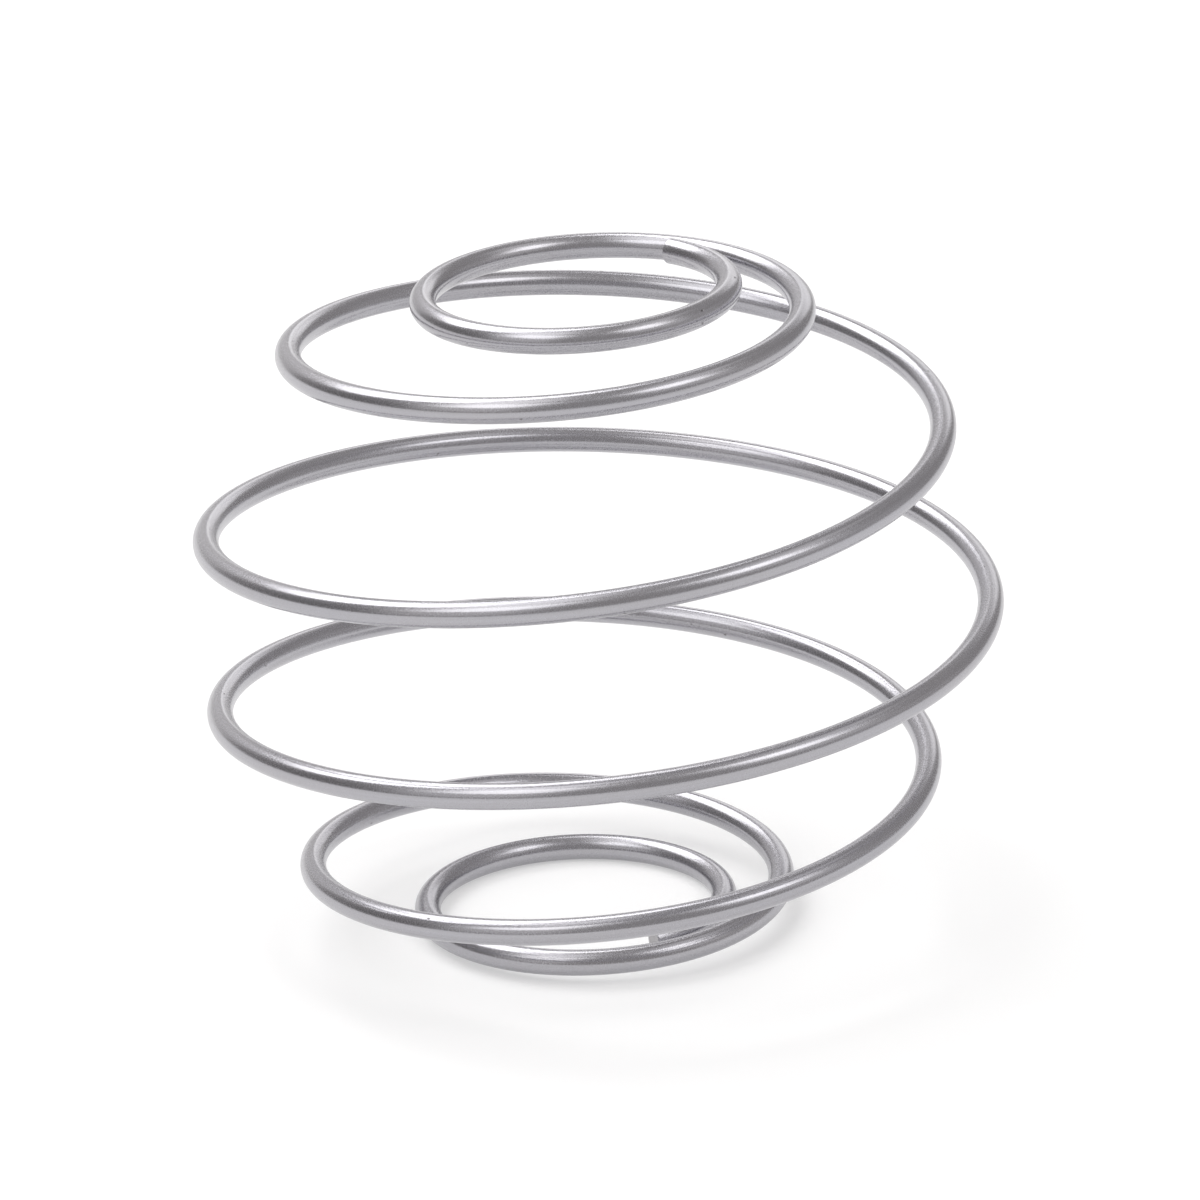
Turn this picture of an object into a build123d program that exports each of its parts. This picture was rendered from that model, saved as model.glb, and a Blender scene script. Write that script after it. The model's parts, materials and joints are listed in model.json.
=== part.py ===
"""Ball-shaped coil spring: one round steel wire, wound upwards from a small flat ring, out round
the ball's middle and back in to a small ring at the top.

The wire is one piece. It bends by twisting along its own length, so it is written here as the
stretches between those twist points: two end rings and the quarter turns of the coils.

Millimetres, +Z up. The origin is on the surface that the ball stands on, under the middle of its
outline. Seen from above, the wire climbs anticlockwise. The front is -Y and the right is +X.
"""

from build123d import *

import math
import os

WIRE_DIAMETER = 1.75

# The winding, as the radius from the coil's axis and the height above the bottom ring at every
# half turn: at the right, then at the left, and so on upwards. The wire's centre line is the
# smooth curve that these values pull into shape. It is wound free, so the turns are not quite
# even. The first half turn, FIRST_HALF_TURN, and the last lie past the wire's ends and only set
# which way the ends run.
FIRST_HALF_TURN = -2
RADII = (8, 8, 7.5, 13, 10.25, 20.5, 22.5, 25, 27.75, 25.25, 24.5, 19.5, 14.5, 9.75, 9.25, 12.25, 12)
HEIGHTS = (0, 0, 0, 0, 1, 3.5, 10.25, 14.75, 22.25, 26.25, 35, 39.75, 43.5, 42.5, 44.5, 42.5, 42.5)

# Places along the wire are counted in turns, and a whole number of turns is at the right.
BOTTOM_TIP = -0.175
TOP_TIP = 6.15
FIRST_TWIST = 0.75  # the end of the bottom ring
LAST_TWIST = 5.25  # the start of the top ring
STRETCH = 0.25  # the length of each stretch of coil
ARC_PAIR = 1 / 8  # the centre line is a chain of pairs of arcs, each pair at most this long

SIDES = ("right", "back", "left", "front")


def smooth(values, half_turn):
    """The uniform cubic B-spline of the values at a count of half turns."""
    place = half_turn - FIRST_HALF_TURN
    whole = math.floor(place)
    part = place - whole
    weights = (
        (1 - part) ** 3,
        3 * part**3 - 6 * part**2 + 4,
        -3 * part**3 + 3 * part**2 + 3 * part + 1,
        part**3,
    )
    near = values[whole - 1 : whole + 3]
    return sum(weight * value for weight, value in zip(weights, near)) / 6


def on_axis(turn):
    """The centre line's point at a turn, with the coil's axis at X = Y = 0."""
    radius = smooth(RADII, 2 * turn)
    angle = 2 * math.pi * turn
    height = WIRE_DIAMETER / 2 + smooth(HEIGHTS, 2 * turn)
    return Vector(radius * math.cos(angle), radius * math.sin(angle), height)


def outline_middle():
    """The middle of the coil's outline in X and Y, measured on its centre line."""
    count = round((TOP_TIP - BOTTOM_TIP) * 360)
    line = [on_axis(BOTTOM_TIP + (TOP_TIP - BOTTOM_TIP) * k / count) for k in range(count + 1)]
    middle_x = (min(p.X for p in line) + max(p.X for p in line)) / 2
    middle_y = (min(p.Y for p in line) + max(p.Y for p in line)) / 2
    return Vector(middle_x, middle_y, 0)


MIDDLE = outline_middle()


def wire_point(turn):
    return on_axis(turn) - MIDDLE


def wire_direction(turn):
    nearby = 1e-4
    return (wire_point(turn + nearby) - wire_point(turn - nearby)).normalized()


def arc_pair(start, end):
    """Two arcs that meet tangentially and run along the wire at the start and at the end."""
    first, last = wire_point(start), wire_point(end)
    leaving, arriving = wire_direction(start), wire_direction(end)
    chord = last - first
    both = leaving + arriving
    bend = 2 * (1 - leaving.dot(arriving))
    along = chord.dot(both)
    reach = (math.sqrt(along**2 + bend * chord.dot(chord)) - along) / bend
    meeting = (first + last + (leaving - arriving) * reach) / 2
    first_arc = TangentArc(first, meeting, tangent=leaving)
    return [first_arc, TangentArc(meeting, last, tangent=first_arc % 1)]


def centre_line(start, end):
    count = math.ceil((end - start) / ARC_PAIR - 1e-6)
    turns = [start + (end - start) * k / count for k in range(count + 1)]
    return Wire([arc for pair in zip(turns, turns[1:]) for arc in arc_pair(*pair)])


def wire(start, end):
    """The round wire from one turn count to another, cut square at both ends."""
    path = centre_line(start, end)
    section = Plane(path @ 0, z_dir=path % 0) * Circle(WIRE_DIAMETER / 2)
    solid = sweep(section, path=path)
    expected = math.pi * WIRE_DIAMETER**2 / 4 * path.length
    share = solid.volume / expected
    print(f"{start:.2f} to {end:.2f}: {path.length:.1f} mm long, {share:.4f} of section x length")
    return solid


def coil_stretches():
    """The quarter turns from the bottom ring up, as (node name, start, end)."""
    count = round((LAST_TWIST - FIRST_TWIST) / STRETCH)
    for k in range(count):
        start = FIRST_TWIST + k * STRETCH
        first_side = SIDES[round(start / STRETCH) % 4]
        next_side = SIDES[round(start / STRETCH + 1) % 4]
        yield f"coil_{k // 4 + 1}_{first_side}_to_{next_side}", start, start + STRETCH


def main():
    os.makedirs("parts", exist_ok=True)
    export_step(wire(BOTTOM_TIP, FIRST_TWIST), "parts/bottom_ring.step")
    for name, start, end in coil_stretches():
        export_step(wire(start, end), f"parts/{name}.step")
    export_step(wire(LAST_TWIST, TOP_TIP), "parts/top_ring.step")


if __name__ == "__main__":
    main()
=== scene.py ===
"""Looks of the ball coil spring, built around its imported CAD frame.

The object is one drawn stainless wire. It is made here as twenty stretches, each of which rides
on its own CAD body, with one surface that runs on from stretch to stretch. Metres, +Z up. The
front is -Y and the right is +X.
"""

import json
import math

import bpy
import numpy as np
from mathutils import Matrix, Vector


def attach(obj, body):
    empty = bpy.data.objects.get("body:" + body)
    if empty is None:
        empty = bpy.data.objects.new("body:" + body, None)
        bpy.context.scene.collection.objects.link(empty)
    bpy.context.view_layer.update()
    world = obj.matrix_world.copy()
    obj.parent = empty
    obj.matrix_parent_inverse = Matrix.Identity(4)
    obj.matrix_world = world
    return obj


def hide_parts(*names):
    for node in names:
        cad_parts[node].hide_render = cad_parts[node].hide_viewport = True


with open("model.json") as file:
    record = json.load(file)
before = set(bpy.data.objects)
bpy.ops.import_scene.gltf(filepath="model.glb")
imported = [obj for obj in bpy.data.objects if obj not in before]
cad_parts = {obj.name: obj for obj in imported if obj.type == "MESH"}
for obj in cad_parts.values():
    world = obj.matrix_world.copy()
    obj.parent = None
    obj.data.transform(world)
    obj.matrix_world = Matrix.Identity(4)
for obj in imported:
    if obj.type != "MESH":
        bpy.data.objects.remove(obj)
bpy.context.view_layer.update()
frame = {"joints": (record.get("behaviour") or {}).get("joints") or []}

MM = 0.001
MM_PER_CM = 10

# The winding, as in the CAD model: the radius from the coil's axis and the height above the
# bottom ring at every half turn, in millimetres. The centre line is the smooth curve that they pull
# into shape.
WIRE_RADIUS = 1.75 / 2 * MM
FIRST_HALF_TURN = -2
RADII = (8, 8, 7.5, 13, 10.25, 20.5, 22.5, 25, 27.75, 25.25, 24.5, 19.5, 14.5, 9.75, 9.25, 12.25, 12)
HEIGHTS = (0, 0, 0, 0, 1, 3.5, 10.25, 14.75, 22.25, 26.25, 35, 39.75, 43.5, 42.5, 44.5, 42.5, 42.5)

# Places along the wire, in turns. A whole number of turns is at the right.
BOTTOM_TIP = -0.175
TOP_TIP = 6.15
FIRST_TWIST = 0.75
LAST_TWIST = 5.25
STRETCH = 0.25
SIDES = ("right", "back", "left", "front")
WIDEST_RIGHT_HINGE = "flex_right"
WIDEST_RIGHT_TURN = 3

# The wire's mesh.
POINTS_AROUND = 48
RING_SPACING = 0.55 * MM
LENGTH_POINTS = 200  # the points that a stretch's length is measured through
RIM_RADIUS = 0.09 * MM  # the rounding where a free end is cut square
RIM_STEPS = 4
CUT_FACE_RINGS = (0.6, 0.3)  # rings on a cut face, as shares of its radius

# The camera, as it stands to the ball.
CAMERA_ELEVATION = math.radians(20.1)
CAMERA_ROLL = math.radians(-1.7)
CAMERA_DISTANCE = 0.525
CAMERA_LENS = 234.8  # mm
CAMERA_SENSOR = 36  # mm, its width
CAMERA_NEAREST = 0.01  # what is closer than this is not drawn
CAMERA_AIM_HEIGHT = 22.96 * MM  # the middle of the ball
CAMERA_RIGHT = 0.69 * MM  # the camera's own offset from straight at the ball's axis
CAMERA_DOWN = 0.13 * MM

# The studio.
FLOOR_RADIUS = 4
FLOOR_CORNERS = 128
LIGHT_DISTANCE = 1.2


def smooth(values, half_turns):
    """The uniform cubic B-spline of the values at each count of half turns."""
    values = np.array(values, float)
    place = half_turns - FIRST_HALF_TURN
    whole = np.floor(place).astype(int)
    part = place - whole
    return (
        (1 - part) ** 3 * values[whole - 1]
        + (3 * part**3 - 6 * part**2 + 4) * values[whole]
        + (-3 * part**3 + 3 * part**2 + 3 * part + 1) * values[whole + 1]
        + part**3 * values[whole + 2]
    ) / 6


def on_axis(turns):
    """The centre line's points, with the coil's axis at X = Y = 0."""
    turns = np.asarray(turns, float)
    radius = smooth(RADII, 2 * turns) * MM
    angle = 2 * math.pi * turns
    height = smooth(HEIGHTS, 2 * turns) * MM + WIRE_RADIUS
    return np.stack([radius * np.cos(angle), radius * np.sin(angle), height], axis=-1)


def coil_axis():
    """Where the coil's axis stands in the frame, from the hinge at the widest place on the right."""
    hinge = next(j for j in frame["joints"] if j["name"] == WIDEST_RIGHT_HINGE)
    offset = np.array(hinge["pos_m"]) - on_axis(WIDEST_RIGHT_TURN)
    return np.array([offset[0], offset[1], 0])


AXIS = coil_axis()


def unit(vectors):
    return vectors / np.linalg.norm(vectors, axis=-1, keepdims=True)


def wire_points(turns):
    return on_axis(turns) + AXIS


def wire_directions(turns):
    nearby = 1e-4
    return unit(wire_points(turns + nearby) - wire_points(turns - nearby))


def stretches():
    """Each stretch of the wire as (node name, start, end), from the bottom up."""
    yield "bottom_ring", BOTTOM_TIP, FIRST_TWIST
    for k in range(round((LAST_TWIST - FIRST_TWIST) / STRETCH)):
        start = FIRST_TWIST + k * STRETCH
        first_side = SIDES[round(start / STRETCH) % 4]
        next_side = SIDES[round(start / STRETCH + 1) % 4]
        yield f"coil_{k // 4 + 1}_{first_side}_to_{next_side}", start, start + STRETCH
    yield "top_ring", LAST_TWIST, TOP_TIP


def ring_turns(start, end):
    """Evenly spaced turn counts for a stretch's rings, from one cut to the other."""
    trial = wire_points(np.linspace(start, end, LENGTH_POINTS))
    length = np.linalg.norm(np.diff(trial, axis=0), axis=1).sum()
    return np.linspace(start, end, math.ceil(length / RING_SPACING) + 1)


def carried_sideways(points, directions):
    """A direction square to the wire at each point, carried along the whole wire without a twist."""
    sideways = unit(np.cross(directions[0], (0, 0, 1)))
    carried = [sideways]
    for k in range(1, len(points)):
        step = points[k] - points[k - 1]
        turned = sideways - 2 * (step @ sideways) / (step @ step) * step
        ahead = directions[k - 1] - 2 * (step @ directions[k - 1]) / (step @ step) * step
        change = directions[k] - ahead
        if change @ change > 0:
            turned = turned - 2 * (change @ turned) / (change @ change) * change
        sideways = unit(turned)
        carried.append(sideways)
    return np.array(carried)


class Tube:
    """A round tube as rings of points, built up ring by ring. Each ring has the normals of the
    surface there, and each point has its place in the straightened wire, in millimetres."""

    def __init__(self):
        self.points = []
        self.normals = []
        self.places = []

    def ring(self, centre, direction, sideways, along, radius=WIRE_RADIUS, lean=0.0, out=1):
        """A ring round the centre. lean turns its normals from straight out towards the wire's
        end, which lies ahead if out is 1 and behind if it is -1."""
        upright = np.cross(direction, sideways)
        angle = np.linspace(0, 2 * math.pi, POINTS_AROUND, endpoint=False)[:, None]
        outward = np.cos(angle) * sideways + np.sin(angle) * upright
        self.points.append(centre + outward * radius)
        self.normals.append(math.cos(lean) * outward + math.sin(lean) * out * direction)
        round_wire = np.hstack([np.cos(angle), np.sin(angle)]) * radius / MM
        self.places.append(np.hstack([round_wire, np.full_like(angle, along / MM)]))

    def free_end(self, centre, direction, sideways, along, out):
        """The rounded rim and the face of a free end, as rings from its side to near its middle."""
        for k in range(RIM_STEPS + 1):
            lean = math.pi / 2 * k / RIM_STEPS
            back = RIM_RADIUS * (1 - math.sin(lean)) * out
            radius = WIRE_RADIUS - RIM_RADIUS * (1 - math.cos(lean))
            self.ring(centre - direction * back, direction, sideways, along - back, radius, lean, out)
        for share in CUT_FACE_RINGS:
            self.ring(centre, direction, sideways, along, radius * share, lean, out)

    def reverse(self):
        for rings in (self.points, self.normals, self.places):
            rings.reverse()


def quads_between(rings):
    """The faces that join each ring of points to the next."""
    ring, point = np.meshgrid(np.arange(rings - 1), np.arange(POINTS_AROUND), indexing="ij")
    following = (point + 1) % POINTS_AROUND
    base = ring * POINTS_AROUND
    corners = (base + point, base + following, base + POINTS_AROUND + following, base + POINTS_AROUND + point)
    return np.stack(corners, axis=-1).reshape(-1, 4)


def closed_mesh(name, tube, first_direction, last_direction, cut_rings):
    """The tube's mesh, closed at both ends by a fan of faces. cut_rings counts the rings on the
    free end's cut face, at the start and at the end."""
    rings = len(tube.points)
    points = np.vstack(tube.points)
    first_middle = tube.points[0].mean(0)
    last_middle = tube.points[-1].mean(0)
    vertices = np.vstack([points, first_middle, last_middle])
    quads = quads_between(rings)
    around = np.arange(POINTS_AROUND)
    following = (around + 1) % POINTS_AROUND
    last_ring = (rings - 1) * POINTS_AROUND
    first_centre = np.full_like(around, len(points))
    last_centre = first_centre + 1
    first_fan = np.stack([following, around, first_centre], axis=-1)
    last_fan = np.stack([last_ring + around, last_ring + following, last_centre], axis=-1)
    mesh = bpy.data.meshes.new(name)
    mesh.from_pydata(vertices.tolist(), [], quads.tolist() + first_fan.tolist() + last_fan.tolist())

    ring_normals = np.vstack(tube.normals)
    side_normals = ring_normals[quads].reshape(-1, 3)
    first_normals = np.tile(-first_direction, (first_fan.size, 1))
    last_normals = np.tile(last_direction, (last_fan.size, 1))
    mesh.shade_smooth()
    mesh.normals_split_custom_set(np.vstack([side_normals, first_normals, last_normals]).tolist())

    places = np.vstack(tube.places)
    ends = np.array([(0, 0, places[0][2]), (0, 0, places[-1][2])])
    drawn = mesh.attributes.new("drawn", "FLOAT_VECTOR", "POINT")
    drawn.data.foreach_set("vector", np.vstack([places, ends]).ravel())

    on_cut = np.zeros(len(mesh.polygons), int)
    on_cut[: cut_rings[0] * POINTS_AROUND] = 1
    on_cut[len(quads) - cut_rings[1] * POINTS_AROUND : len(quads)] = 1
    on_cut[len(quads) : len(quads) + POINTS_AROUND] = cut_rings[0] > 0
    on_cut[len(quads) + POINTS_AROUND :] = cut_rings[1] > 0
    mesh.polygons.foreach_set("material_index", on_cut)
    wrap(mesh, quads, tube)
    return mesh


def wrap(mesh, quads, tube):
    """A UV map in which U runs along the wire and V round it, both in centimetres. The fans that
    close the ends lie flat in it."""
    layer = mesh.uv_layers.new(name="along_and_round")
    places = np.vstack(tube.places)
    turn = 2 * math.pi * WIRE_RADIUS / MM
    uv = np.zeros((len(mesh.loops), 2))
    point = quads % POINTS_AROUND
    share = point / POINTS_AROUND
    share[:, 1:3] = (point[:, :1] + 1) / POINTS_AROUND
    uv[: quads.size, 0] = places[quads][..., 2].ravel() / MM_PER_CM
    uv[: quads.size, 1] = share.ravel() * turn / MM_PER_CM
    fans = mesh.loops[quads.size :]
    for loop in fans:
        x, y, z = mesh.attributes["drawn"].data[loop.vertex_index].vector
        uv[loop.index] = ((z + x) / MM_PER_CM, y / MM_PER_CM)
    layer.data.foreach_set("uv", uv.ravel())


def node(tree, kind, **settings):
    """A new node. A setting that is a socket is linked, and one that is not is set."""
    made = tree.nodes.new(kind)
    for name, value in settings.items():
        if name in made.inputs:
            connect(tree, made.inputs[name], value)
        else:
            setattr(made, name, value)
    return made


def connect(tree, socket, value):
    if isinstance(value, bpy.types.NodeSocket):
        tree.links.new(value, socket)
    else:
        socket.default_value = value


def in_wire(tree, sizes):
    """The place in the straightened wire, in millimetres, divided by one size per axis."""
    place = node(tree, "ShaderNodeAttribute", attribute_name="drawn")
    return node(tree, "ShaderNodeMapping", vector_type="TEXTURE", Vector=place.outputs["Vector"],
                Scale=sizes).outputs["Vector"]


def noise(tree, grain, detail=2.0, roughness=0.5):
    """Noise whose grains have about these sizes, in millimetres, across the wire and along it."""
    across, along = grain
    made = node(tree, "ShaderNodeTexNoise", Vector=in_wire(tree, (across, across, along)), Scale=1.0,
                Detail=detail, Roughness=roughness)
    return made.outputs["Fac"]


def spread(tree, value, low, high, to_low, to_high):
    """The value from low to high, moved to run smoothly from to_low to to_high."""
    made = node(tree, "ShaderNodeMapRange", interpolation_type="SMOOTHSTEP", Value=value)
    for name, number in (("From Min", low), ("From Max", high), ("To Min", to_low), ("To Max", to_high)):
        made.inputs[name].default_value = number
    return made.outputs["Result"]


def mixed_colour(tree, share, first, second):
    made = node(tree, "ShaderNodeMix", data_type="RGBA")
    colours = [socket for socket in made.inputs if socket.type == "RGBA"]
    connect(tree, made.inputs["Factor"], share)
    connect(tree, colours[0], first)
    connect(tree, colours[1], second)
    return next(socket for socket in made.outputs if socket.type == "RGBA")


def bump(tree, height, distance, under=None):
    """Relief of this height in metres, on top of the relief under it."""
    made = node(tree, "ShaderNodeBump", Height=height, Distance=distance, Strength=1.0)
    if under is not None:
        tree.links.new(under, made.inputs["Normal"])
    return made.outputs["Normal"]


def new_material(name):
    material = bpy.data.materials.new(name)
    material.use_nodes = True
    tree = material.node_tree
    return material, tree, tree.nodes["Principled BSDF"]


def drawn_steel():
    """Bright drawn stainless wire: die lines along it, a fine grain, a slight change of tint
    along it, dull scuffs and a few small nicks."""
    material, tree, shader = new_material("drawn_steel")
    die_lines = noise(tree, (0.12, 18), detail=3.0)
    grain = noise(tree, (0.09, 0.05), detail=2.0, roughness=0.6)
    patches = noise(tree, (2.5, 9), detail=2.0)
    scuffs = spread(tree, noise(tree, (0.5, 1.6), detail=4.0, roughness=0.7), 0.62, 0.72, 0, 1)
    pits = node(tree, "ShaderNodeTexVoronoi", Vector=in_wire(tree, (1.9, 1.9, 2.6)), Scale=1.0)
    nicks = spread(tree, pits.outputs["Distance"], 0.03, 0.055, 1, 0)

    clean = mixed_colour(tree, patches, (0.465, 0.455, 0.48, 1), (0.44, 0.44, 0.48, 1))
    speckled = mixed_colour(tree, spread(tree, grain, 0.35, 0.65, 0.35, 0), clean, (0.34, 0.33, 0.335, 1))
    lined = mixed_colour(tree, spread(tree, die_lines, 0.35, 0.7, 0, 0.3), speckled, (0.36, 0.35, 0.36, 1))
    nicked = mixed_colour(tree, spread(tree, nicks, 0, 1, 0, 0.7), lined, (0.12, 0.11, 0.11, 1))
    tree.links.new(nicked, shader.inputs["Base Color"])
    shader.inputs["Metallic"].default_value = 1
    shader.inputs["Anisotropic"].default_value = 0.3
    tangent = node(tree, "ShaderNodeTangent", direction_type="UV_MAP", uv_map="along_and_round")
    tree.links.new(tangent.outputs["Tangent"], shader.inputs["Tangent"])

    polish = node(tree, "ShaderNodeMath", operation="MAXIMUM")
    tree.links.new(spread(tree, grain, 0.3, 0.7, 0.19, 0.29), polish.inputs[0])
    tree.links.new(spread(tree, scuffs, 0, 1, 0.0, 0.32), polish.inputs[1])
    tree.links.new(polish.outputs[0], shader.inputs["Roughness"])
    relief = bump(tree, grain, 0.0032 * MM)
    relief = bump(tree, die_lines, 0.0012 * MM, relief)
    relief = bump(tree, nicks, -0.02 * MM, relief)
    tree.links.new(relief, shader.inputs["Normal"])
    return material


def cut_steel():
    """The sheared face of a cut end: matt, with fine drag marks straight across it."""
    material, tree, shader = new_material("cut_steel")
    marks = node(tree, "ShaderNodeTexNoise", Vector=in_wire(tree, (0.06, 0.7, 1)), Scale=1.0, Detail=3.0)
    tree.links.new(
        mixed_colour(tree, marks.outputs["Fac"], (0.5, 0.49, 0.5, 1), (0.3, 0.29, 0.3, 1)),
        shader.inputs["Base Color"],
    )
    shader.inputs["Metallic"].default_value = 1
    tree.links.new(spread(tree, marks.outputs["Fac"], 0.3, 0.7, 0.28, 0.45), shader.inputs["Roughness"])
    tree.links.new(bump(tree, marks.outputs["Fac"], 0.01 * MM), shader.inputs["Normal"])
    return material


def build_wire():
    """Every stretch of the wire, as one piece on each CAD body."""
    materials = drawn_steel(), cut_steel()
    counts = [ring_turns(start, end) for _, start, end in stretches()]
    whole = np.concatenate([counts[0]] + [turns[1:] for turns in counts[1:]])
    points = wire_points(whole)
    directions = wire_directions(whole)
    sideways = carried_sideways(points, directions)
    along = np.concatenate([[0], np.cumsum(np.linalg.norm(np.diff(points, axis=0), axis=1))])
    first = 0
    for (name, start, end), turns in zip(stretches(), counts):
        last = first + len(turns) - 1
        rows = list(range(first, last + 1))
        tube = Tube()
        cut_rings = [0, 0]
        if start == BOTTOM_TIP:
            tube.free_end(points[first], directions[first], sideways[first], along[first], -1)
            tube.reverse()
            cut_rings[0] = len(CUT_FACE_RINGS)
            rows = rows[1:]
        if end == TOP_TIP:
            rows = rows[:-1]
        for k in rows:
            tube.ring(points[k], directions[k], sideways[k], along[k])
        if end == TOP_TIP:
            tube.free_end(points[last], directions[last], sideways[last], along[last], 1)
            cut_rings[1] = len(CUT_FACE_RINGS)
        mesh = closed_mesh(f"{name}_wire", tube, directions[first], directions[last], cut_rings)
        for material in materials:
            mesh.materials.append(material)
        piece = bpy.data.objects.new(f"{name}_wire", mesh)
        bpy.context.scene.collection.objects.link(piece)
        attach(piece, name)
        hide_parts(name)
        first = last


def build_floor():
    """A plain pale floor, slightly lit from within so that the ball's shadow on it stays faint."""
    bpy.ops.mesh.primitive_circle_add(vertices=FLOOR_CORNERS, radius=FLOOR_RADIUS, fill_type="NGON")
    floor = bpy.context.object
    floor.name = "floor"
    material, tree, shader = new_material("pale_floor")
    shader.inputs["Base Color"].default_value = (0.62, 0.62, 0.62, 1)
    shader.inputs["Emission Color"].default_value = (1, 1, 1, 1)
    shader.inputs["Emission Strength"].default_value = 0.4
    shader.inputs["Roughness"].default_value = 0.9
    shader.inputs["Specular IOR Level"].default_value = 0.1
    floor.data.materials.append(material)


def softbox(name, azimuth, elevation, width, height, radiance):
    """A soft light on a sphere round the ball. Azimuth counts from the front to the right.
    Width and height are angles. All angles are in degrees."""
    azimuth, elevation = math.radians(azimuth), math.radians(elevation)
    outward = Vector((
        math.sin(azimuth) * math.cos(elevation),
        -math.cos(azimuth) * math.cos(elevation),
        math.sin(elevation),
    ))
    light = bpy.data.lights.new(name, "AREA")
    light.shape = "RECTANGLE"
    light.size = 2 * LIGHT_DISTANCE * math.tan(math.radians(width) / 2)
    light.size_y = 2 * LIGHT_DISTANCE * math.tan(math.radians(height) / 2)
    light.energy = math.pi * light.size * light.size_y * radiance
    lamp = bpy.data.objects.new(name, light)
    lamp.location = Vector((AXIS[0], AXIS[1], CAMERA_AIM_HEIGHT)) + outward * LIGHT_DISTANCE
    lamp.rotation_euler = outward.to_track_quat("Z", "Y").to_euler()
    bpy.context.scene.collection.objects.link(lamp)


def studio_room():
    """The dim, even light of the room, which falls off towards a darker wall on the left."""
    world = bpy.data.worlds.new("studio_room")
    world.use_nodes = True
    tree = world.node_tree
    background = tree.nodes["Background"]
    background.inputs["Color"].default_value = (1, 0.97, 0.965, 1)
    towards = node(tree, "ShaderNodeTexCoord")
    parts = node(tree, "ShaderNodeSeparateXYZ", Vector=towards.outputs["Generated"])
    brightness = spread(tree, parts.outputs["X"], -1, -0.65, 0.25, 0.44)
    tree.links.new(brightness, background.inputs["Strength"])
    return world


def build_lights():
    """The softboxes, each as azimuth, elevation, width, height and radiance, and the room."""
    softbox("left_back_softbox", -142, 51, 46, 30, 3.4)
    softbox("left_front_softbox", -44, 52, 28, 28, 1.7)
    softbox("left_front_spill", -44, 36, 44, 56, 0.38)
    softbox("right_front_softbox", 58, 50, 22, 24, 2.0)
    softbox("right_front_spill", 60, 42, 40, 46, 0.3)
    softbox("right_wall", 85, 12, 56, 30, 0.1)
    softbox("back_reflector", 166, 17, 28, 20, 1.05)
    softbox("back_left_spill", -160, 15, 46, 36, 0.3)
    softbox("overhead_left_softbox", -90, 74, 30, 22, 1.3)
    softbox("overhead_right_softbox", 96, 66, 36, 18, 0.5)
    bpy.context.scene.world = studio_room()


def build_camera():
    """The camera in front of the ball, looking down at it, a little rolled."""
    across, upwards = Vector((1, 0, 0)), Vector((0, math.sin(CAMERA_ELEVATION), math.cos(CAMERA_ELEVATION)))
    forward = Vector((0, math.cos(CAMERA_ELEVATION), -math.sin(CAMERA_ELEVATION)))
    right = across * math.cos(CAMERA_ROLL) + upwards * math.sin(CAMERA_ROLL)
    up = upwards * math.cos(CAMERA_ROLL) - across * math.sin(CAMERA_ROLL)
    aim = Vector((AXIS[0], AXIS[1], CAMERA_AIM_HEIGHT))
    place = aim + right * CAMERA_RIGHT - up * CAMERA_DOWN - forward * CAMERA_DISTANCE
    data = bpy.data.cameras.new("camera")
    data.lens = CAMERA_LENS
    data.sensor_width = CAMERA_SENSOR
    data.clip_start = CAMERA_NEAREST
    camera = bpy.data.objects.new("camera", data)
    turned = Matrix((right, up, -forward)).transposed().to_4x4()
    camera.matrix_world = Matrix.Translation(place) @ turned
    bpy.context.scene.collection.objects.link(camera)
    bpy.context.scene.camera = camera


build_camera()
build_wire()
build_floor()
build_lights()
bpy.context.scene.view_settings.view_transform = "Standard"
